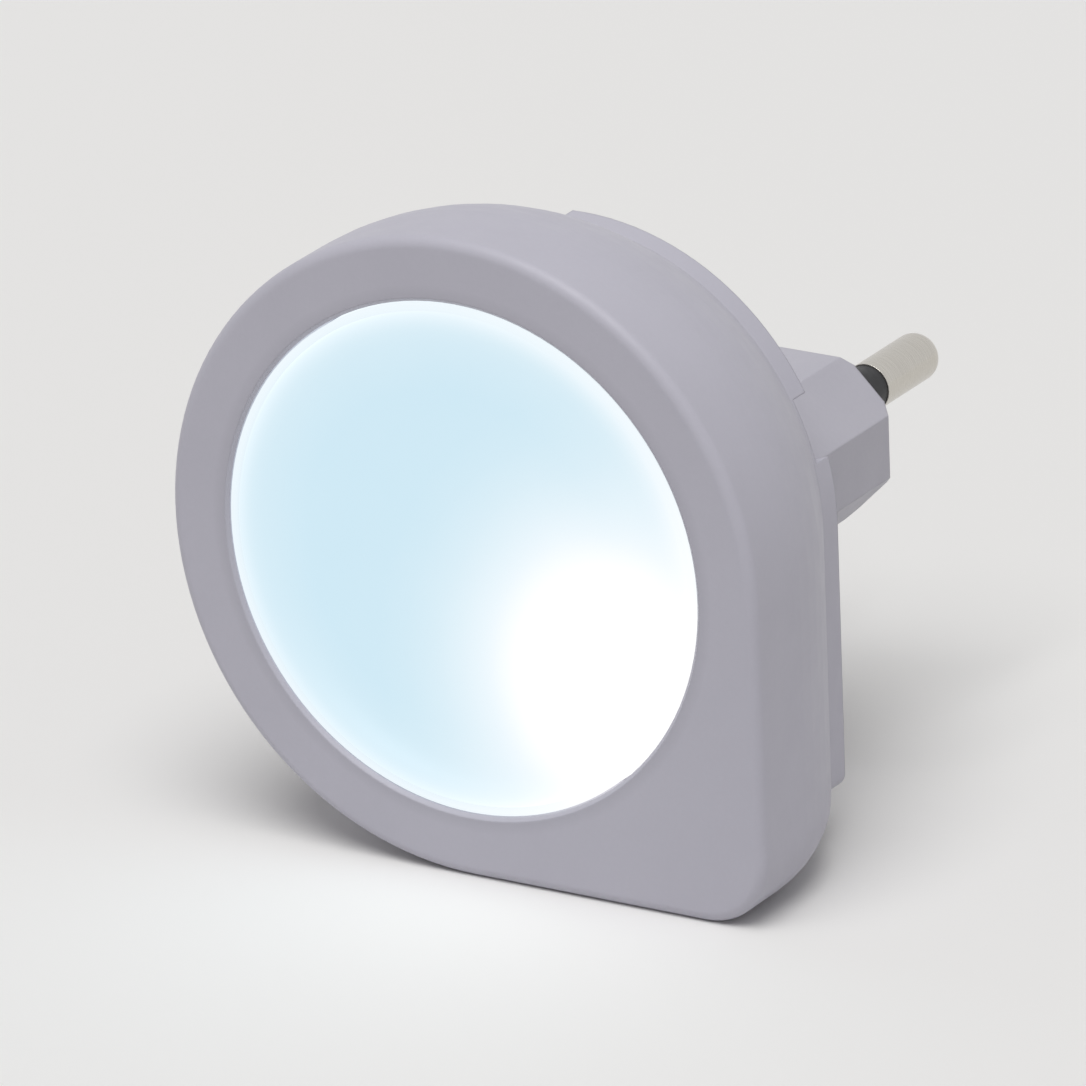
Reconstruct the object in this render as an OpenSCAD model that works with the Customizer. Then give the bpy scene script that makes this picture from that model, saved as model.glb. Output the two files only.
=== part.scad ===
// Plug-in night light: a round moulded housing with one square corner, a glowing
// opal dish in its face, a light sensor, and a two-pin plug that carries it in a wall socket.
// Every sub-part is drawn as if the light lay on the socket plate: X to the right, Y up the
// wall, Z out into the room, with the plate at Z 0. facing() then stands it up.

/* [Housing] */
// Radius of the round front outline
face_r = 26.4; // [26:0.1:32]
// Outline radius of the one square corner
corner_r = 5.5; // [5:0.1:8]
// Depth from the socket plate to the front face
body_depth = 20; // [19:0.1:25]
// How far the side wall draws in at the socket plate
taper_in = 4.15; // [3.5:0.05:4.4]
// Height of the straight rim at the socket plate
rim_h = 2.2; // [2:0.1:2.8]
// Angle of the taper above the rim
taper_a = 30; // [28:0.5:33]
// Radius of the shoulder between the straight wall and the taper
shoulder_r = 20; // [14:0.5:22]
// Rounding of the front edge
edge_r = 0.9; // [0.5:0.1:1.3]
// Side wall thickness
wall = 1.8; // [1.4:0.1:2]
// Thickness of the front bezel
bezel_t = 2; // [1.6:0.1:2.4]
// Fillet inside the housing, behind the bezel
inner_fillet = 0.6; // [0.3:0.1:1]

/* [Rim notches] */
// Length of a pry notch round the rim
notch_w = 5.3; // [3:0.1:6]
// Height of a pry notch above the plate
notch_h = 1.9; // [1:0.1:2]

/* [Lens] */
// Radius of the round opening in the bezel
lens_r = 21.15; // [20:0.05:22]
// Gap round the lens
lens_gap = 0.12; // [0.05:0.01:0.2]
// How far the lens rim lies below the front face
lens_drop = 0.3; // [0:0.05:0.6]
// Width of the flat lens rim
lens_rim = 0.7; // [0.5:0.05:1]
// Depth of the dish below its rim
dish_depth = 3.2; // [2.4:0.1:3.6]
// Fillet radius at the foot of the dish wall
dish_fillet = 2.8; // [1.6:0.1:3]
// Lens wall thickness
lens_t = 1.3; // [1:0.05:1.6]
// Depth of the lens seat below the front face
seat_depth = 4.3; // [4:0.1:4.6]
// Width of the lens seat
ledge_w = 2.25; // [1.9:0.05:2.6]
// Thickness of the lens seat
ledge_t = 1.4; // [1:0.1:2]
// Thickness of the skirt round the lens seat
skirt_t = 1.2; // [1:0.1:1.3]
// Width of a lens snap leg
leg_w = 3; // [2:0.1:4]
// Thickness of a lens snap leg
leg_t = 0.85; // [0.6:0.05:1]

/* [Light chamber] */
// Wall thickness of the reflector cup
reflector_t = 1; // [0.8:0.1:1.4]
// Radius of the reflector floor
reflector_floor_r = 14.5; // [12:0.1:16]
// LED place to the right of the centre
led_x = 11; // [6:0.1:12]
// LED place below the centre
led_drop = 10; // [5:0.1:11]

/* [Light sensor] */
// Sensor place to the right of the centre
sensor_x = 12.2; // [11.6:0.1:12.8]
// Radius of the sensor body
sensor_r = 1.5; // [1.2:0.05:1.6]
// Length of the sensor body
sensor_len = 3.1; // [2.8:0.05:3.3]
// Radius of the sensor window
window_r = 1.2; // [0.8:0.05:1.3]
// Thickness of the collar behind the window
window_flange_t = 1; // [0.7:0.1:1.2]

/* [Circuit board] */
// Height of the board's rear face above the plate
board_z = 8; // [7.8:0.1:8.6]
// Board thickness
board_t = 1.6; // [1:0.1:2]
// Gap between the board and the mouth of the housing
board_gap = 0.3; // [0.2:0.05:0.6]

/* [Rear cover] */
// Rear cover thickness
cover_t = 2; // [1.9:0.1:2.2]
// Gap round the rear cover
cover_gap = 0.15; // [0.1:0.01:0.25]
// Width of a cover hook
hook_w = 4; // [3:0.1:4.5]
// Thickness of a cover hook
hook_t = 1.3; // [1:0.1:1.5]
// How far a hook catches over its block
hook_catch = 0.9; // [0.5:0.05:1.1]
// Height of a catch block
catch_h = 2.1; // [1.6:0.1:2.3]
// Radius of a board post
post_r = 1.5; // [1:0.1:1.7]

/* [Plug] */
// Distance between the two pins
pin_pitch = 19; // [18.6:0.1:20]
// Pin radius
pin_r = 2; // [1.95:0.01:2.4]
// Length of a pin outside the plug body
pin_len = 19; // [16:0.5:22]
// Length of the insulated part of a pin
sleeve_len = 10; // [8:0.5:11]
// Radius of the insulating sleeve
sleeve_r = 1.9; // [1.8:0.01:1.95]
// Radius of the metal core inside the sleeve
core_r = 1.5; // [1.2:0.05:1.6]
// Width of the plug body
plug_w = 35.3; // [34:0.1:36]
// Height of the plug body
plug_h = 13.7; // [13:0.1:14.4]
// Depth of the plug body in the socket
plug_len = 17; // [16:0.1:18]
// Wall thickness of the plug body
plug_wall = 1.8; // [1.4:0.1:2]
// Slant of the plug body's four long corners
plug_slant = 4.25; // [3.5:0.05:4.6]

/* [Hidden] */
$fn = 96;

// How far a cut runs past a face
over = 1;
// Gap between two separate bodies that only lie side by side
play = 0.05;

// Side wall: the shoulder arc runs from shoulder_z down to the taper, which ends on the rim
shoulder_z = rim_h + shoulder_r * sin(taper_a)
    + (taper_in - shoulder_r * (1 - cos(taper_a))) / tan(taper_a);
// Straight steps along the shoulder arc and round the front edge
shoulder_steps = 6;
edge_steps = 8;
// Radius of the housing's mouth, inside the wall at the plate
mouth_r = face_r - taper_in - wall;
// Outline corner of the cavity, wide enough to stay round down to the mouth
cavity_corner_r = micron(taper_in + wall + 0.1);

// Rim notches, cover hooks and catch blocks share these directions
hook_angles = [21, 99, 171, 252];
// Lens snap legs
leg_angles = [30, 150, 270];
// Stiffening ribs between the lens seat and the side wall
rib_angles = [0 : 22.5 : 270];
rib_t = 1;

// Lens and its seat
opening_chamfer = 0.3;
seat_z = body_depth - seat_depth;
ledge_z = seat_z - ledge_t;
ledge_in_r = lens_r - ledge_w;
lens_top = body_depth - lens_drop;
lens_rim_r = lens_r - lens_gap;
dish_r = lens_rim_r - lens_rim;
dish_z = lens_top - dish_depth;
leg_gap = 0.15;
leg_nose = 0.6;
leg_nose_h = 0.9;

// Board and reflector
board_top = board_z + board_t;
board_r = mouth_r - board_gap;
board_corner_r = 2;
reflector_r = lens_rim_r - leg_t - leg_nose - leg_gap;
led_size = [3.5, 2.8, 0.8];
led_gap = 0.4;

// Board screw in the square corner
screw_r = 1.05;
screw_len = 7;
screw_head = [1.9, 1.5];
screw_in = 2.5;
screw_c = board_r - screw_in;
boss_r = 2.3;
gusset_t = 1.2;

// Light sensor, midway between board and lens seat, looking down through the flat underside
sensor_sleeve_t = 0.4;
window_flange_r = window_r + 0.4;
window_z = (board_top + ledge_z) / 2;
inner_shoulder_r = shoulder_r - wall;
collar_drop = max(0, shoulder_z - window_z + window_flange_r);
window_in = inner_shoulder_r - sqrt(pow(inner_shoulder_r, 2) - pow(collar_drop, 2));
window_y = -(face_r - wall - window_in);
sensor_tip_y = window_y + window_flange_t + play;
sensor_base_y = sensor_tip_y + sensor_len;
lead_w = 0.5;
sensor_lead_pitch = 1.27;

// Rear cover
cover_r = mouth_r - cover_gap;
cover_corner_r = 1.2;
hook_r = cover_r - 0.75;
catch_r = hook_r + 0.15;
catch_w = hook_w + 2;
catch_top = cover_t + catch_h;
hook_nose_h = 1.5;
post_places = [[-9.5, 14.2], [9.5, 14.2], [-8, -14]];
cover_rib_h = 0.7;

// Plug body and what it holds
plug_end_t = 2;
plug_chamfer = 0.8;
plug_corner_r = 1.2;
pin_x = pin_pitch / 2;
flange_t = 1;
flange_r = pin_r + 0.6;
plug_floor_z = -(plug_len - plug_end_t);
retainer_t = 2;
retainer_z = plug_floor_z + flange_t;
retainer_top = retainer_z + retainer_t;
tail_r = 1.2;
contact_t = 0.4;
contact_w = 3;
rivet_r = 1.7;
rivet_h = 0.6;
strip_x = pin_x - tail_r - 0.7;
retainer_screw_r = 0.8;
retainer_head = [1.8, 1.2];
retainer_post_r = 2.2;

// Parts under the board: place of each and its size
film_size = [12.4, 6, 12];
film_r = 0.8;
can_r = 2.5;
can_len = 11;
can_place = [0, 8];
bridge_size = [8.4, 6.4, 3];
bridge_place = [0, -8.4];
fuse_place = [0, 13.9];
fuse_r = 1.5;
fuse_len = 8.6;
series_place = [0, -14.2];
bleed_place = [12.2, 7];
resistor_r = 1.05;
resistor_len = 6;
lead_reach = 1.1;
end_bulge = 0.15;
zener_place = [-12.2, 7];
zener_r = 1.2;
zener_len = 4.6;
disc_place = [-12.4, -7.4];
disc_r = 3.5;
disc_t = 3.2;
transistor_place = [10.6, -8.2];
transistor_r = 2.3;

// --- Shared shapes ---

// Turns the drawing so that it faces the room along -Y, with +Z up
module facing() {
    rotate([90, 0, 0]) children();
}

// Trigonometric lengths are kept to a micron, so that joined pieces share their points exactly
function micron(v) = round(v * 1000) / 1000;

// Half section of the body: r is the outline radius and skin the offset inward
module half_section(r, skin, low, high, edge) {
    arc_x = r - shoulder_r;
    arc_r = shoulder_r - skin;
    side_r = r - skin;
    rim_r = r - taper_in - skin;
    rim_top = rim_h + skin * (1 / cos(taper_a) - 1) / tan(taper_a);
    shoulder = [for (i = [0 : shoulder_steps]) let (a = taper_a * (i / shoulder_steps - 1))
        [micron(arc_x + arc_r * cos(a)), micron(shoulder_z + arc_r * sin(a))]];
    rounding = [for (i = [0 : edge_steps]) let (a = 90 * i / edge_steps)
        [micron(side_r - edge + edge * cos(a)), micron(high - edge + edge * sin(a))]];
    polygon(concat([[0, low], [micron(rim_r), low], [micron(rim_r), micron(rim_top)]],
        shoulder, rounding, [[0, high]]));
}

// Round body with one square corner at the lower right
module drop_form(corner, skin, low, high, edge) {
    reach = face_r - corner;
    rotate_extrude(angle = 270) half_section(face_r, skin, low, high, edge);
    translate([reach, -reach, 0])
        rotate([0, 0, 270])
        rotate_extrude(angle = 90) half_section(corner, skin, low, high, edge);
    rotate([90, 0, 0])
        linear_extrude(reach) half_section(face_r, skin, low, high, edge);
    rotate([0, 0, -90])
        translate([0, reach, 0])
        rotate([90, 0, 0])
        linear_extrude(reach) half_section(face_r, skin, low, high, edge);
}

// Flat outline of the same shape
module drop_outline(r, corner) {
    circle(r);
    translate([0, corner - r]) square([r, r - corner]);
    translate([0, -r]) square([r - corner, r]);
    translate([r - corner, corner - r]) circle(corner);
}

// Upright box with rounded vertical edges, centred in X and Y
module rounded_box(size, r) {
    linear_extrude(size.z) {
        square([size.x - 2 * r, size.y], center = true);
        square([size.x, size.y - 2 * r], center = true);
        for (sx = [-1, 1], sy = [-1, 1])
            translate([sx * (size.x / 2 - r), sy * (size.y / 2 - r)]) circle(r);
    }
}

// Outline of the plug body, shrunk by inset
module plug_outline(inset) {
    w = plug_w / 2 - inset;
    h = plug_h / 2 - inset;
    s = plug_slant - inset * (2 - sqrt(2));
    polygon([
        [-w, s - h], [s - w, -h], [w - s, -h], [w, s - h],
        [w, h - s], [w - s, h], [s - w, h], [-w, h - s]
    ]);
}

// Pan head screw along +Z, its head below Z 0
module pan_screw(r, length, head) {
    difference() {
        union() {
            translate([0, 0, -play]) cylinder(r = r, h = length + play);
            translate([0, 0, -head[1]]) cylinder(r1 = head[0] * 0.8, r2 = head[0], h = head[1] * 0.4);
            translate([0, 0, -head[1] * 0.6]) cylinder(r = head[0], h = head[1] * 0.6);
        }
        for (turn = [0, 90])
            rotate([0, 0, turn])
                translate([-head[0] * 0.55, -0.2, -head[1] - over])
                cube([head[0] * 1.1, 0.4, over + head[1] * 0.55]);
    }
}

// Axial part lying under the board along X, with its two leads bent up to the board
module axial_part(r, length, reach, bulge) {
    lead_r = 0.3;
    body_z = -r - bulge - play;
    translate([0, 0, body_z]) rotate([0, 90, 0]) {
        cylinder(r = r, h = length, center = true);
        for (end = [-1, 1])
            translate([0, 0, end * (length / 2 - 0.6)]) cylinder(r = r + bulge, h = 1.2, center = true);
        cylinder(r = lead_r, h = length + 2 * reach, center = true);
    }
    for (end = [-1, 1])
        translate([end * (length / 2 + reach - lead_r), 0, body_z])
            cylinder(r = lead_r, h = -body_z);
}

// --- Housing and lens ---

// Moulded shell with the bezel, lens seat, screw boss, ribs and catch blocks
module front_housing() {
    color([0.80, 0.79, 0.84]) facing() difference() {
        drop_form(corner_r, 0, 0, body_depth, edge_r);
        difference() {
            drop_form(cavity_corner_r, wall, -over, body_depth - bezel_t, inner_fillet);
            lens_seat();
            corner_boss();
            catch_blocks();
        }
        lens_pocket();
        rim_notches();
        translate([sensor_x, -face_r - over, window_z])
            rotate([-90, 0, 0]) cylinder(r = window_r + play, h = window_in + wall + 2 * over);
        translate([screw_c, -screw_c, board_top - over]) cylinder(r = screw_r + play, h = over + screw_len);
    }
}

// Skirt behind the bezel, tied to the side wall by short ribs
module lens_seat() {
    translate([0, 0, ledge_z]) cylinder(r = lens_r + skirt_t, h = body_depth - ledge_z);
    for (a = rib_angles)
        rotate([0, 0, a])
            translate([lens_r, -rib_t / 2, ledge_z])
            cube([face_r - lens_r, rib_t, body_depth - ledge_z]);
}

// Opening for the lens, with the ledge it sits on and the gaps for its snap legs
module lens_pocket() {
    translate([0, 0, seat_z]) cylinder(r = lens_r, h = seat_depth + over);
    translate([0, 0, body_depth - opening_chamfer])
        cylinder(r1 = lens_r, r2 = lens_r + opening_chamfer + over, h = opening_chamfer + over);
    translate([0, 0, ledge_z - over]) cylinder(r = ledge_in_r, h = seat_depth + ledge_t);
    for (a = leg_angles)
        rotate([0, 0, a])
            intersection() {
                translate([lens_rim_r - leg_t - leg_gap, -leg_w / 2 - leg_gap, ledge_z - over])
                    cube([leg_t + 2 * leg_gap, leg_w + 2 * leg_gap, ledge_t + 2 * over]);
                translate([0, 0, ledge_z - over]) cylinder(r = lens_r - play, h = ledge_t + 2 * over);
            }
}

// Screw boss in the square corner, with a gusset to each flat wall
module corner_boss() {
    top = body_depth - board_top;
    translate([screw_c, -screw_c, board_top]) cylinder(r = boss_r, h = top);
    translate([screw_c, -screw_c - gusset_t / 2, board_top + play]) cube([face_r, gusset_t, top]);
    translate([screw_c - gusset_t / 2, -screw_c - face_r, board_top + play]) cube([gusset_t, face_r, top]);
}

// Blocks that stop the rear cover and hold its hooks
module catch_blocks() {
    for (a = hook_angles)
        rotate([0, 0, a])
            translate([catch_r, -catch_w / 2, cover_t])
            cube([face_r - catch_r, catch_w, catch_h]);
}

// Notches in the rim where a blade reaches the hooks
module rim_notches() {
    for (a = hook_angles)
        rotate([0, 0, a])
            translate([hook_r, -notch_w / 2, -over])
            cube([face_r - hook_r, notch_w, notch_h + over]);
}

// Opal dish with a flat rim and three snap legs
module diffuser_lens() {
    color([0.82, 0.91, 0.96]) facing() {
        rotate_extrude() lens_section();
        for (a = leg_angles) rotate([0, 0, a]) lens_leg();
    }
}

// Half section of the lens
module lens_section() {
    skin_r = dish_r - dish_fillet;
    difference() {
        union() {
            translate([0, seat_z]) square([lens_rim_r, lens_top - seat_z]);
            intersection() {
                union() {
                    translate([0, dish_z - lens_t]) square([skin_r, seat_z - dish_z + lens_t + play]);
                    translate([skin_r, dish_z + dish_fillet]) circle(dish_fillet + lens_t);
                }
                square([ledge_in_r - leg_gap, seat_z + play]);
            }
        }
        translate([0, dish_z]) square([skin_r, dish_depth + over]);
        translate([0, dish_z + dish_fillet]) square([dish_r, dish_depth + over]);
        intersection() {
            translate([skin_r, dish_z + dish_fillet]) circle(dish_fillet);
            translate([0, dish_z]) square([dish_r, dish_fillet + play]);
        }
    }
}

// Snap leg through the ledge, its nose under the skirt
module lens_leg() {
    foot = ledge_z - leg_gap - leg_nose_h;
    intersection() {
        translate([lens_rim_r - leg_t, -leg_w / 2, foot]) cube([leg_t, leg_w, seat_z - foot + play]);
        translate([0, 0, foot]) cylinder(r = lens_rim_r - play, h = seat_z - foot + play);
    }
    translate([0, leg_w / 2, 0]) rotate([90, 0, 0]) linear_extrude(leg_w) polygon([
        [lens_rim_r - leg_t, foot], [lens_rim_r - leg_t / 2, foot],
        [lens_rim_r + leg_nose, foot + leg_nose_h * 0.7],
        [lens_rim_r + leg_nose, foot + leg_nose_h], [lens_rim_r - leg_t, foot + leg_nose_h]
    ]);
}

// White cup that throws the LED's light into the dish
module reflector_cup() {
    height = ledge_z - board_top;
    color([0.95, 0.95, 0.95]) facing() difference() {
        translate([0, 0, board_top]) cylinder(r = reflector_r, h = height);
        translate([0, 0, board_top + reflector_t])
            cylinder(r1 = reflector_floor_r, r2 = reflector_r - reflector_t, h = height - reflector_t);
        translate([0, 0, ledge_z - play]) cylinder(r = reflector_r - reflector_t, h = over);
        translate([led_x - led_size.x / 2 - led_gap, -led_drop - led_size.y / 2 - led_gap, board_top - over])
            cube([led_size.x + 2 * led_gap, led_size.y + 2 * led_gap, reflector_t + 2 * over]);
    }
}

// --- Board and the parts on it ---

// Board with the housing's own outline
module circuit_board() {
    color([0.10, 0.42, 0.22]) facing() difference() {
        translate([0, 0, board_z]) linear_extrude(board_t) drop_outline(board_r, board_corner_r);
        translate([screw_c, -screw_c, board_z - over]) cylinder(r = screw_r + 0.15, h = board_t + 2 * over);
    }
}

// White LED with its phosphor window
module led_emitter() {
    window = [led_size.x - 0.8, led_size.y - 0.8, 0.1];
    color([0.98, 0.95, 0.70]) facing()
        translate([led_x, -led_drop, board_top]) {
            rounded_box(led_size, 0.2);
            translate([0, 0, led_size.z]) rounded_box(window, 0.3);
        }
}

// Photo transistor that looks down at its window, on two bent leads
module light_sensor() {
    dome_y = sensor_tip_y + sensor_r;
    color([0.55, 0.62, 0.66]) facing() {
        translate([sensor_x, sensor_base_y, window_z]) rotate([90, 0, 0])
            cylinder(r = sensor_r, h = sensor_base_y - dome_y);
        intersection() {
            translate([sensor_x, dome_y, window_z]) sphere(sensor_r);
            translate([sensor_x, dome_y, window_z]) rotate([90, 0, 0])
                cylinder(r = sensor_r + over, h = sensor_r + over);
        }
        for (side = [-1, 1]) translate([sensor_x + side * sensor_lead_pitch / 2 - lead_w / 2, 0, 0]) {
            translate([0, sensor_base_y - play, window_z - lead_w / 2])
                cube([lead_w, 1 + play, lead_w]);
            translate([0, sensor_base_y + 1 - lead_w, board_top])
                cube([lead_w, lead_w, window_z - board_top]);
        }
    }
}

// Black tube that keeps the LED's own light off the sensor
module sensor_sleeve() {
    length = sensor_len - sensor_sleeve_t;
    color([0.08, 0.08, 0.09]) facing()
        translate([sensor_x, sensor_tip_y - play, window_z]) rotate([-90, 0, 0]) difference() {
            cylinder(r = sensor_r + play + sensor_sleeve_t, h = length);
            translate([0, 0, -over]) cylinder(r = sensor_r + play, h = length + 2 * over);
        }
}

// Clear plug in the flat underside
module sensor_window() {
    color([0.75, 0.80, 0.82]) facing()
        translate([sensor_x, window_in - face_r, window_z]) rotate([-90, 0, 0]) {
            cylinder(r = window_r, h = wall + 2 * play);
            translate([0, 0, wall + play]) cylinder(r = window_flange_r, h = window_flange_t - play);
        }
}

// Places a part under the board, with its own Z 0 on the board's rear face
module under_board(place) {
    facing() translate([place.x, place.y, board_z]) children();
}

// Boxed film capacitor that reaches down between the pins
module film_capacitor() {
    color([0.85, 0.70, 0.20]) under_board([0, 0])
        translate([0, 0, -film_size.z]) rounded_box(film_size, film_r);
}

// Electrolytic can lying under the board
module smoothing_capacitor() {
    lead_x = can_len / 2 + 0.9;
    color([0.12, 0.14, 0.22]) under_board(can_place) {
        translate([-can_len / 2, 0, -can_r - play]) rotate([0, 90, 0]) can_body();
        for (side = [-1, 1]) translate([0, side * 1.2, -can_r - play]) {
            rotate([0, 90, 0]) cylinder(r = 0.3, h = lead_x);
            translate([lead_x - 0.3, 0, 0]) cylinder(r = 0.3, h = can_r + play);
        }
    }
}

// Can along Z, with the rolled groove near its sealed end
module can_body() {
    groove = 0.35;
    rotate_extrude() difference() {
        square([can_r, can_len]);
        translate([can_r + groove, can_len - 1.7]) circle(2 * groove);
        translate([0, -over]) square([can_r * 0.7, over + 0.15]);
    }
}

// Bridge rectifier with four legs
module bridge_rectifier() {
    leg = [0.9, 0.5, 1.9];
    color([0.09, 0.09, 0.10]) under_board(bridge_place) {
        translate([0, 0, -bridge_size.z - 0.2]) rounded_box(bridge_size, 0.3);
        for (sx = [-1, 1], sy = [-1, 1])
            translate([sx * bridge_size.x * 0.3 - leg.x / 2, sy * (bridge_size.y / 2 + leg.y / 2) - leg.y / 2, -leg.z])
                cube(leg);
    }
}

// Fusible resistor in the live line
module fusible_resistor() {
    color([0.35, 0.52, 0.40]) under_board(fuse_place) axial_part(fuse_r, fuse_len, lead_reach, end_bulge);
}

// Resistor that empties the film capacitor
module bleed_resistor() {
    color([0.55, 0.68, 0.78]) under_board(bleed_place)
        rotate([0, 0, 90]) axial_part(resistor_r, resistor_len, lead_reach, end_bulge);
}

// Resistor in line with the LED
module series_resistor() {
    color([0.80, 0.68, 0.48]) under_board(series_place)
        axial_part(resistor_r, resistor_len, lead_reach, end_bulge);
}

// Zener diode that holds the supply
module zener_diode() {
    color([0.75, 0.35, 0.18]) under_board(zener_place)
        rotate([0, 0, 90]) axial_part(zener_r, zener_len, lead_reach, 0);
}

// Surge absorber disc
module varistor() {
    color([0.15, 0.32, 0.62]) under_board(disc_place) translate([0, 0, -disc_t]) rotate_extrude() {
        square([disc_r - disc_t / 2, disc_t]);
        intersection() {
            translate([disc_r - disc_t / 2, disc_t / 2]) circle(disc_t / 2);
            translate([disc_r - disc_t / 2, 0]) square([disc_t / 2, disc_t]);
        }
    }
}

// Transistor that the sensor drives, with one flat side
module switch_transistor() {
    height = 4.2;
    lead_gap = 0.9;
    color([0.10, 0.10, 0.11]) under_board(transistor_place) {
        translate([0, 0, -height]) difference() {
            cylinder(r = transistor_r, h = height - lead_gap);
            translate([-transistor_r - over, transistor_r * 0.6, -over])
                cube([2 * (transistor_r + over), transistor_r, height + 2 * over]);
        }
        for (x = [-1.27, 0, 1.27])
            translate([x - lead_w / 2, -lead_w / 2, -lead_gap - play]) cube([lead_w, lead_w, lead_gap + play]);
    }
}

// Screw that holds the board in the square corner
module board_screw() {
    color([0.70, 0.70, 0.72]) facing()
        translate([screw_c, -screw_c, board_z]) pan_screw(screw_r, board_t + screw_len - 0.5, screw_head);
}

// --- Rear cover and plug ---

// Rear cover and plug body in one moulding, with hooks, board posts and ribs
module rear_cover() {
    color([0.78, 0.77, 0.81]) facing() difference() {
        union() {
            linear_extrude(cover_t) drop_outline(cover_r, cover_corner_r);
            plug_body();
            cover_ribs();
            for (a = hook_angles) rotate([0, 0, a]) cover_hook();
            for (p = post_places) translate([p.x, p.y, 0]) cylinder(r = post_r, h = board_z);
        }
        translate([0, 0, plug_floor_z]) difference() {
            linear_extrude(plug_len + cover_t + over) plug_outline(plug_wall);
            cylinder(r = retainer_post_r, h = flange_t);
        }
        for (side = [-1, 1])
            translate([side * pin_x, 0, -plug_len - over]) cylinder(r = sleeve_r + play, h = plug_end_t + 2 * over);
        translate([0, 0, retainer_z - 2.5]) cylinder(r = retainer_screw_r + play, h = 2.5 + over);
        for (a = hook_angles)
            rotate([0, 0, a])
                translate([hook_r, -hook_w / 2, -over])
                cube([cover_r, hook_w, cover_t + 2 * over]);
    }
}

// Slanted plug body with chamfered end edges
module plug_body() {
    translate([0, 0, -plug_len]) intersection() {
        linear_extrude(plug_len + play) plug_outline(0);
        rotate([90, 0, 0]) linear_extrude(plug_h + 2 * over, center = true) end_chamfer(plug_w);
        rotate([90, 0, 90]) linear_extrude(plug_w + 2 * over, center = true) end_chamfer(plug_h);
    }
}

// Side view of a block whose lower corners are cut off
module end_chamfer(width) {
    w = width / 2;
    polygon([
        [plug_chamfer - w, 0], [w - plug_chamfer, 0], [w, plug_chamfer],
        [w, plug_len + over], [-w, plug_len + over], [-w, plug_chamfer]
    ]);
}

// Low ribs that stiffen the plate above and below the plug body
module cover_ribs() {
    rib_reach = cover_r - 2.5;
    for (x = [-5, 5])
        translate([x - rib_t / 2, -rib_reach + abs(x), cover_t - play])
            cube([rib_t, 2 * (rib_reach - abs(x)), cover_rib_h + play]);
}

// Hook that springs over its catch block
module cover_hook() {
    top = catch_top + 0.1;
    translate([0, hook_w / 2, 0]) rotate([90, 0, 0]) linear_extrude(hook_w) polygon([
        [hook_r - hook_t, cover_t - play], [hook_r, cover_t - play], [hook_r, top],
        [hook_r + hook_catch, top], [hook_r + hook_catch, top + 0.3],
        [hook_r - hook_t * 0.3, top + hook_nose_h], [hook_r - hook_t, top + hook_nose_h]
    ]);
}

// Brass pin with a bare tip, a flange inside the plug body and a riveted tail
module plug_pin(side) {
    color([0.80, 0.78, 0.72]) facing() translate([side * pin_x, 0, 0]) {
        translate([0, 0, -plug_len - pin_len]) rotate_extrude() pin_tip();
        translate([0, 0, -plug_len - sleeve_len - play]) cylinder(r = core_r, h = sleeve_len + plug_end_t + play);
        translate([0, 0, plug_floor_z]) cylinder(r = flange_r, h = flange_t);
        translate([0, 0, retainer_z - play]) cylinder(r = tail_r, h = retainer_t + contact_t + 2 * play);
        translate([0, 0, retainer_top + contact_t]) cylinder(r1 = rivet_r, r2 = rivet_r * 0.7, h = rivet_h);
    }
}

// Half section of the bare pin tip with its rounded end
module pin_tip() {
    tip_len = pin_len - sleeve_len;
    round_r = pin_r * 0.7;
    translate([0, round_r]) square([pin_r, tip_len - round_r]);
    square([pin_r - round_r, tip_len]);
    intersection() {
        translate([pin_r - round_r, round_r]) circle(round_r);
        translate([pin_r - round_r, 0]) square([round_r, round_r]);
    }
}

// Insulating sleeve round the root of a pin
module pin_sleeve(side) {
    color([0.12, 0.12, 0.13]) facing()
        translate([side * pin_x, 0, -plug_len - sleeve_len]) difference() {
            cylinder(r = sleeve_r, h = sleeve_len + plug_end_t);
            translate([0, 0, -over]) cylinder(r = core_r + play, h = sleeve_len + plug_end_t + 2 * over);
        }
}

// Plate that clamps the two pin flanges
module pin_retainer() {
    color([0.88, 0.87, 0.84]) facing() translate([0, 0, retainer_z]) difference() {
        linear_extrude(retainer_t) plug_outline(plug_wall + 0.15);
        for (side = [-1, 1])
            translate([side * pin_x, 0, -over]) cylinder(r = tail_r + play, h = retainer_t + 2 * over);
        translate([0, 0, -over]) cylinder(r = retainer_screw_r + 0.15, h = retainer_t + 2 * over);
    }
}

// Screw through the retainer
module retainer_screw() {
    color([0.70, 0.70, 0.72]) facing() translate([0, 0, retainer_top]) mirror([0, 0, 1])
        pan_screw(retainer_screw_r, retainer_t + 2.2, retainer_head);
}

// Contact strip from a pin's tail up to the board
module contact_strip(side) {
    tab_x = pin_x + rivet_r;
    color([0.82, 0.66, 0.35]) facing() mirror([side < 0 ? 1 : 0, 0, 0]) difference() {
        union() {
            translate([strip_x - contact_t, -contact_w / 2, retainer_top])
                cube([tab_x - strip_x + contact_t, contact_w, contact_t]);
            translate([strip_x - contact_t, -contact_w / 2, retainer_top])
                cube([contact_t, contact_w, board_z - retainer_top]);
        }
        translate([pin_x, 0, retainer_top - over]) cylinder(r = tail_r + play, h = contact_t + 2 * over);
    }
}

front_housing();
diffuser_lens();
reflector_cup();
circuit_board();
led_emitter();
light_sensor();
sensor_sleeve();
sensor_window();
film_capacitor();
smoothing_capacitor();
bridge_rectifier();
fusible_resistor();
bleed_resistor();
series_resistor();
zener_diode();
varistor();
switch_transistor();
board_screw();
rear_cover();
plug_pin(-1);  // left_pin
plug_pin(1);  // right_pin
pin_sleeve(-1);  // left_pin_sleeve
pin_sleeve(1);  // right_pin_sleeve
pin_retainer();
retainer_screw();
contact_strip(-1);  // left_contact
contact_strip(1);  // right_contact
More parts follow.
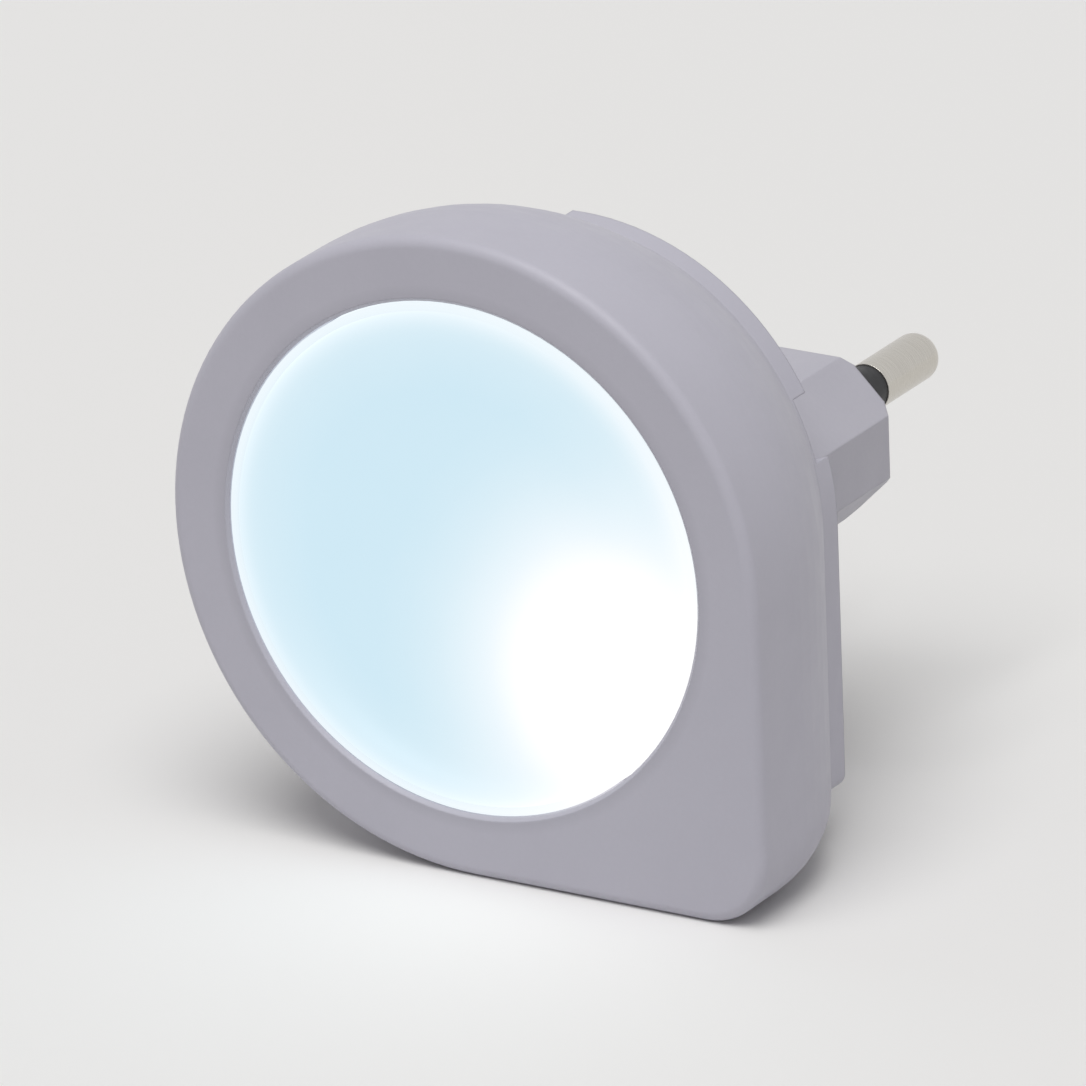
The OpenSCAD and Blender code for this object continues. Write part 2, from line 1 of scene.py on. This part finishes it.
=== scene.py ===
"""Plug-in night light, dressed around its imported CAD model.

The CAD pieces keep their shapes and get their finishes here, on a pale floor in soft studio light.
Lengths are millimetres, and MM turns them into Blender's metres. The light faces -Y, +Z is up, and
the socket plate is the plane Y = 0.
"""
import math

import bpy
from mathutils import Matrix, Vector

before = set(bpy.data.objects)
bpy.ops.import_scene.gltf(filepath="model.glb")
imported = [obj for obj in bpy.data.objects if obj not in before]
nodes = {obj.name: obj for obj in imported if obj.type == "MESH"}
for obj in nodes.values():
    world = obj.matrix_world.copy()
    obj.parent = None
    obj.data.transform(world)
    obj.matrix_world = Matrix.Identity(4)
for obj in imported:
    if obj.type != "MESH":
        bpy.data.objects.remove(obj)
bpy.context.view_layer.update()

MM = 0.001
FACE_R = 26.4    # round front outline
DEPTH = 20.0     # front face above the socket plate
LENS_R = 21.15   # round opening for the lens
SEAT_Z = 15.7    # ledge that the lens rests on


def rgb(r, g, b):
    """Linear colour of an 8-bit sRGB one."""
    def one(c):
        c /= 255
        return c / 12.92 if c <= 0.04045 else ((c + 0.055) / 1.055) ** 2.4
    return (one(r), one(g), one(b), 1.0)


# --- Short names for shader nodes ---

class Nodes:
    """Makes and joins the nodes of one tree."""

    def __init__(self, tree):
        self.tree = tree

    def add(self, kind, **props):
        node = self.tree.nodes.new(kind)
        for key, value in props.items():
            setattr(node, key, value)
        return node

    def plug(self, socket, value):
        if isinstance(value, bpy.types.NodeSocket):
            self.tree.links.new(value, socket)
        else:
            socket.default_value = value

    def math(self, operation, a, b=0.0, clamp=False):
        node = self.add("ShaderNodeMath", operation=operation, use_clamp=clamp)
        self.plug(node.inputs[0], a)
        self.plug(node.inputs[1], b)
        return node.outputs[0]

    def plus(self, a, b):
        return self.math("ADD", a, b)

    def minus(self, a, b):
        return self.math("SUBTRACT", a, b)

    def times(self, a, b):
        return self.math("MULTIPLY", a, b)

    def distance(self, a, b):
        """Distance from the line a = b = 0."""
        return self.math("SQRT", self.plus(self.times(a, a), self.times(b, b)))

    def mix(self, share, a, b):
        node = self.add("ShaderNodeMix", data_type="RGBA")
        self.plug(node.inputs[0], share)
        self.plug(node.inputs[6], a)
        self.plug(node.inputs[7], b)
        return node.outputs[2]

    def seen(self):
        """1 for the rays by which eyes, gloss and glass see this, 0 for those by which it lights."""
        ray = self.add("ShaderNodeLightPath").outputs
        seen = self.math("MAXIMUM", ray["Is Camera Ray"], ray["Is Glossy Ray"])
        return self.math("MAXIMUM", seen, ray["Is Transmission Ray"])

    def span(self, value, low, high, to_low=0.0, to_high=1.0):
        """Carries the range from low to high over to the range from to_low to to_high."""
        node = self.add("ShaderNodeMapRange")
        self.plug(node.inputs[0], value)
        for i, number in enumerate((low, high, to_low, to_high)):
            node.inputs[1 + i].default_value = number
        return node.outputs[0]

    def ramp(self, value, stops, ease="LINEAR"):
        """Colours or grey levels along a value from 0 to 1."""
        node = self.add("ShaderNodeValToRGB")
        self.plug(node.inputs[0], value)
        band = node.color_ramp
        band.interpolation = ease
        while len(band.elements) > 1:
            band.elements.remove(band.elements[-1])
        for i, (at, colour) in enumerate(stops):
            stop = band.elements[0] if i == 0 else band.elements.new(at)
            stop.position = at
            stop.color = colour if isinstance(colour, tuple) else (colour, colour, colour, 1)
        return node.outputs["Color"]


NOISE = (0.3, 0.7)  # nearly all noise lies between these


class Look(Nodes):
    """A material built node by node round one Principled shader, in millimetres of the object."""

    def __init__(self, name, rough, metal=0.0, ior=1.46):
        self.mat = bpy.data.materials.new(name)
        self.mat.use_nodes = True
        super().__init__(self.mat.node_tree)
        self.shader = self.tree.nodes["Principled BSDF"]
        self.rough = rough
        self.set("Roughness", rough)
        self.set("Metallic", metal)
        self.set("IOR", ior)
        scale = self.add("ShaderNodeVectorMath", operation="SCALE")
        self.plug(scale.inputs[0], self.add("ShaderNodeTexCoord").outputs["Object"])
        scale.inputs["Scale"].default_value = 1 / MM
        self.place = scale.outputs[0]
        split = self.add("ShaderNodeSeparateXYZ")
        self.plug(split.inputs[0], self.place)
        self.x, self.y, self.z = split.outputs

    def set(self, name, value):
        self.plug(self.shader.inputs[name], value)

    def noise(self, scale, detail=2.0, stretch=None, rough=0.5):
        """Noise from 0 to 1 with about scale waves in a millimetre."""
        vector = self.place
        if stretch:
            node = self.add("ShaderNodeVectorMath", operation="MULTIPLY")
            self.plug(node.inputs[0], self.place)
            node.inputs[1].default_value = stretch
            vector = node.outputs[0]
        node = self.add("ShaderNodeTexNoise")
        self.plug(node.inputs["Vector"], vector)
        node.inputs["Scale"].default_value = scale
        node.inputs["Detail"].default_value = detail
        node.inputs["Roughness"].default_value = rough
        return node.outputs["Fac"]

    def tones(self, noise, dark, light, ease="LINEAR", reach=NOISE):
        """Colour that goes from dark to light where noise goes through its reach."""
        return self.ramp(noise, [(reach[0], dark), (reach[1], light)], ease)

    def uneven(self, noise, less, more):
        """Roughness that noise lowers by less and raises by more."""
        self.set("Roughness", self.span(noise, NOISE[0], NOISE[1], self.rough - less, self.rough + more))

    def bump(self, height, depth, under):
        """Relief of a height from 0 to 1 that stands depth proud of the normal under it."""
        node = self.add("ShaderNodeBump")
        node.inputs["Strength"].default_value = 1.0
        node.inputs["Distance"].default_value = depth * MM
        self.plug(node.inputs["Height"], height)
        self.plug(node.inputs["Normal"], under)
        return node.outputs[0]

    def soft_edges(self, radius):
        """Normal that rounds the sharp edges."""
        node = self.add("ShaderNodeBevel", samples=6)
        node.inputs["Radius"].default_value = radius * MM
        return node.outputs[0]


# --- Finishes ---

PAINTED_RING_SHADE = rgb(60, 64, 72)  # painted shade, mixed into the bezel right beside the lens
RING_SHARE = 0.09
RING_FADE = (0.5, 1.4)        # the painted shade fades between these distances from the opening
FACE_FADE = (1.0, 0.5)        # and between these depths behind the front face


def painted_shade_share(look):
    """Share of the painted shade: full on the front face just outside the lens opening."""
    out = look.minus(look.distance(look.x, look.z), LENS_R)
    near = look.span(out, RING_FADE[0], RING_FADE[1], 1.0, 0.0)
    on_face = look.span(look.plus(look.y, DEPTH), FACE_FADE[0], FACE_FADE[1])
    return look.times(look.times(near, on_face), RING_SHARE)


FLOW_SHARE = 0.7  # the rest of the tone is speck
WAVINESS = 0.05   # depth of the long waves in a moulded face


def moulded(name, light, dark, rough, grain, edge, painted_ring=False):
    """White moulded plastic: a faint flow of tone, a fine spark texture and soft edges."""
    look = Look(name, rough)
    flow = look.noise(0.11, 3.0)
    speck = look.noise(2.6, 2.0)
    tone = look.plus(look.times(flow, FLOW_SHARE), look.times(speck, 1 - FLOW_SHARE))
    colour = look.tones(tone, dark, light)
    # painted shade: a darker ring on the bezel just outside the lens opening
    if painted_ring:
        colour = look.mix(painted_shade_share(look), colour, PAINTED_RING_SHADE)
    look.set("Base Color", colour)
    look.uneven(look.noise(0.5, 3.0), 0.05, 0.06)
    spark = look.bump(look.noise(3.4, 3.0, rough=0.6), grain, look.soft_edges(edge))
    look.set("Normal", look.bump(look.noise(0.09, 1.0), WAVINESS, spark))
    return look.mat


GLOW_X, GLOW_Z = 13.6, -7.8  # where the glow is strongest, in the plane of the front face
GLOW_TURN = -11.9            # the glow is a little longer this way, in degrees
GLOW_SHAPE = (0.80, 0.736)   # distances along and across that way count this much
GLOW_SLANT = (0.617, 0.453)  # the pattern runs back into the dish along this slant
SPOT_REACH = 20.0
SPOT = [  # share of full light over the LED, by distance as a share of SPOT_REACH
    (0.0, 1.0), (0.28, 1.0), (0.35, 0.95), (0.45, 0.65), (0.55, 0.43), (0.65, 0.25), (0.75, 0.10),
    (0.85, 0.02), (1.0, 0.0)]
WALL_REACH = 22.0
WALL = [  # share of full light piped by the dish wall and rim, by radius as a share of WALL_REACH
    (0.0, 0.0), (0.636, 0.025), (0.727, 0.09), (0.773, 0.13), (0.818, 0.17), (0.855, 0.25),
    (0.882, 0.36), (0.909, 0.50), (0.93, 0.62), (0.955, 0.68)]
GLOW_TINTS = [  # from the pale blue of the opal to the white over the LED
    (0.0, rgb(200, 226, 238)), (0.3, rgb(214, 233, 242)), (0.6, rgb(231, 242, 248)),
    (1.0, rgb(255, 255, 255))]
OPAL_TINTS = [(0.0, rgb(52, 60, 65)), (1.0, rgb(40, 42, 44))]  # dark, because the room's light adds up
CLOUD = 0.05      # unevenness of the glow
SEAT_FADE = 0.05  # the glow comes up from this far behind the ledge to this far in front of it


def glowing_lens():
    """Opal dish lit from behind: brightest over the LED, and in the wall and rim that pipe the light."""
    look = Look("lens_glow", 0.55, ior=1.45)
    deep = look.plus(look.y, DEPTH)
    face_x = look.plus(look.x, look.times(deep, GLOW_SLANT[0]))
    face_z = look.plus(look.z, look.times(deep, GLOW_SLANT[1]))
    x = look.minus(face_x, GLOW_X)
    z = look.minus(face_z, GLOW_Z)
    turn = math.radians(GLOW_TURN)
    along = look.plus(look.times(x, math.cos(turn)), look.times(z, math.sin(turn)))
    across = look.minus(look.times(z, math.cos(turn)), look.times(x, math.sin(turn)))
    far = look.distance(look.times(along, GLOW_SHAPE[0]), look.times(across, GLOW_SHAPE[1]))
    spot = look.ramp(look.math("DIVIDE", far, SPOT_REACH), SPOT)
    wall = look.ramp(look.math("DIVIDE", look.distance(face_x, face_z), WALL_REACH), WALL)
    dim = look.times(look.minus(1.0, spot), look.minus(1.0, wall))
    cloud = look.times(look.minus(look.noise(0.16, 2.0), 0.5), CLOUD)
    glow = look.math("ADD", look.minus(1.0, dim), cloud, clamp=True)
    look.set("Base Color", look.ramp(glow, OPAL_TINTS))
    look.set("Emission Color", look.ramp(glow, GLOW_TINTS))
    look.set("Emission Strength", look.span(look.y, SEAT_FADE - SEAT_Z, -SEAT_Z - SEAT_FADE))
    look.set("Normal", look.bump(look.noise(1.2, 2.0), 0.002, look.soft_edges(0.2)))
    return look.mat


def metal(name, light, dark, rough):
    """Turned metal, or a drawn strip, with fine marks across Y."""
    look = Look(name, rough, 1.0)
    marks = look.noise(0.35, 3.0, stretch=(1, 60, 1))
    look.set("Base Color", look.tones(marks, dark, light, "EASE"))
    look.uneven(marks, 0.03, 0.05)
    look.set("Normal", look.bump(marks, 0.0004, look.soft_edges(0.1)))
    return look.mat


def coated(name, light, dark, rough, grain=0.004, scale=1.4):
    """Lacquer, resin, rubber or laminate: two close tones, a little relief and a soft edge."""
    look = Look(name, rough, ior=1.5)
    look.set("Base Color", look.tones(look.noise(scale * 0.4, 3.0), dark, light, reach=(0.35, 0.65)))
    look.uneven(look.noise(scale, 2.0), 0.05, 0.08)
    look.set("Normal", look.bump(look.noise(scale * 2, 2.0), grain, look.soft_edges(0.12)))
    return look.mat


FINISHES = {
    # Housing, lens and cover
    # the last argument, True, gives the housing the painted shade ring beside the lens
    "shell_plastic": moulded("shell_white", rgb(200, 198, 209), rgb(196, 194, 205), 0.46, 0.0035, 0.22, True),
    "cover_plastic": moulded("cover_white", rgb(196, 194, 203), rgb(190, 188, 198), 0.5, 0.004, 0.3),
    "opal_plastic": glowing_lens(),
    "reflector_plastic": coated("reflector_white", rgb(240, 240, 238), rgb(234, 234, 233), 0.4, 0.002),
    "window_plastic": coated("window_smoke", rgb(96, 100, 106), rgb(78, 82, 88), 0.2, 0.001),
    # Board and the parts on it
    "board_laminate": coated("board_green", rgb(36, 104, 62), rgb(26, 84, 50), 0.4, 0.01, 0.8),
    "led_phosphor": coated("led_yellow", rgb(246, 226, 140), rgb(240, 214, 112), 0.35, 0.002),
    "sensor_resin": coated("sensor_clear", rgb(150, 166, 172), rgb(132, 150, 158), 0.15, 0.001),
    "black_rubber": coated("rubber_black", rgb(34, 34, 36), rgb(24, 24, 26), 0.7, 0.01, 2.0),
    "film_case": coated("film_yellow", rgb(222, 178, 54), rgb(210, 164, 44), 0.45, 0.004),
    "can_sleeve": coated("can_blue", rgb(34, 40, 66), rgb(26, 31, 54), 0.35, 0.003),
    "chip_resin": coated("chip_black", rgb(40, 40, 42), rgb(29, 29, 31), 0.55, 0.008, 3.0),
    "green_lacquer": coated("lacquer_green", rgb(92, 132, 104), rgb(80, 118, 92), 0.4, 0.004),
    "blue_lacquer": coated("lacquer_blue", rgb(146, 176, 200), rgb(132, 162, 188), 0.4, 0.004),
    "tan_lacquer": coated("lacquer_tan", rgb(206, 176, 126), rgb(192, 160, 110), 0.4, 0.004),
    "diode_case": coated("diode_red", rgb(192, 96, 56), rgb(172, 78, 42), 0.2, 0.002),
    "disc_coating": coated("disc_blue", rgb(42, 86, 160), rgb(32, 70, 138), 0.35, 0.006),
    # Plug and fasteners
    "pin_metal": metal("pin_nickel", rgb(212, 208, 200), rgb(202, 198, 190), 0.26),
    "sleeve_plastic": coated("sleeve_black", rgb(38, 38, 40), rgb(30, 30, 32), 0.42, 0.003, 1.8),
    "retainer_plastic": coated("retainer_ivory", rgb(226, 222, 212), rgb(216, 212, 202), 0.5, 0.004),
    "contact_brass": metal("brass_strip", rgb(208, 172, 100), rgb(194, 158, 88), 0.3),
    "screw_steel": metal("steel_zinc", rgb(192, 194, 198), rgb(176, 178, 184), 0.32),
}

for node in nodes.values():
    for slot in node.material_slots:
        slot.material = FINISHES[slot.material.name]


# --- Floor and light ---

FLOOR_HALF = 3000.0  # half the floor's side
FLOOR_GAP = 0.02     # how far the floor lies below the light
FLOOR_LIGHT = rgb(220, 219, 218)
FLOOR_SEEN = (rgb(245, 244, 242), rgb(247, 246, 244))
ROOM_LIGHT = (0.29, 0.29, 0.295, 1)
ROOM_SEEN = rgb(228, 228, 229)
KEY_ENERGY = 1.81
KEY_ANGLE = math.radians(45)
KEY_FROM = Vector((0.095, -0.31, 0.945))


def paper_floor():
    """Pale floor. Eyes, gloss and glass see it a little paler than the tone that lights."""
    half = FLOOR_HALF * MM
    level = -(FACE_R + FLOOR_GAP) * MM
    corners = [(-half, -half, level), (half, -half, level), (half, half, level), (-half, half, level)]
    mesh = bpy.data.meshes.new("floor")
    mesh.from_pydata(corners, [], [(0, 1, 2, 3)])
    paper = Look("floor_paper", 0.8)
    sheet = paper.tones(paper.noise(0.003, 0.0), FLOOR_SEEN[0], FLOOR_SEEN[1])
    paper.set("Base Color", paper.mix(paper.seen(), FLOOR_LIGHT, sheet))
    mesh.materials.append(paper.mat)
    floor = bpy.data.objects.new("floor", mesh)
    bpy.context.scene.collection.objects.link(floor)
    return floor


def key_light():
    """Broad soft sun from above and in front."""
    key = bpy.data.objects.new("key", bpy.data.lights.new("key", "SUN"))
    key.data.energy = KEY_ENERGY
    key.data.angle = KEY_ANGLE
    key.rotation_euler = KEY_FROM.to_track_quat("Z", "Y").to_euler()
    bpy.context.scene.collection.objects.link(key)


def studio_world():
    """Even light from all round. Eyes, gloss and glass see a paler room than the one that lights."""
    world = bpy.data.worlds.new("studio")
    world.use_nodes = True
    room = Nodes(world.node_tree)
    background = room.tree.nodes["Background"]
    room.plug(background.inputs["Color"], room.mix(room.seen(), ROOM_LIGHT, ROOM_SEEN))
    bpy.context.scene.world = world


paper_floor()
key_light()
studio_world()


# --- Camera ---

AZIMUTH = math.radians(31.7)
ELEVATION = math.radians(21.1)
ROLL = math.radians(-2.16)
DISTANCE = 1109.0
AIM = Vector((-1.0, -6.0, -3.5))
FOCAL_LENGTH = 470
SENSOR_WIDTH = 36


def photo_camera():
    """Camera at the photograph's angle, distance and roll."""
    back = Vector((math.sin(AZIMUTH) * math.cos(ELEVATION), -math.cos(AZIMUTH) * math.cos(ELEVATION),
                   math.sin(ELEVATION)))
    side = Vector((math.cos(AZIMUTH), math.sin(AZIMUTH), 0))
    up = back.cross(side)
    right = side * math.cos(ROLL) + up * math.sin(ROLL)
    top = up * math.cos(ROLL) - side * math.sin(ROLL)
    data = bpy.data.cameras.new("camera")
    data.lens = FOCAL_LENGTH
    data.sensor_width = SENSOR_WIDTH
    data.clip_end = 20
    camera = bpy.data.objects.new("camera", data)
    turn = Matrix((right, top, back)).transposed().to_4x4()
    camera.matrix_world = Matrix.Translation((AIM + back * DISTANCE) * MM) @ turn
    bpy.context.scene.collection.objects.link(camera)
    return camera


bpy.context.scene.camera = photo_camera()
bpy.context.scene.view_settings.view_transform = "Standard"
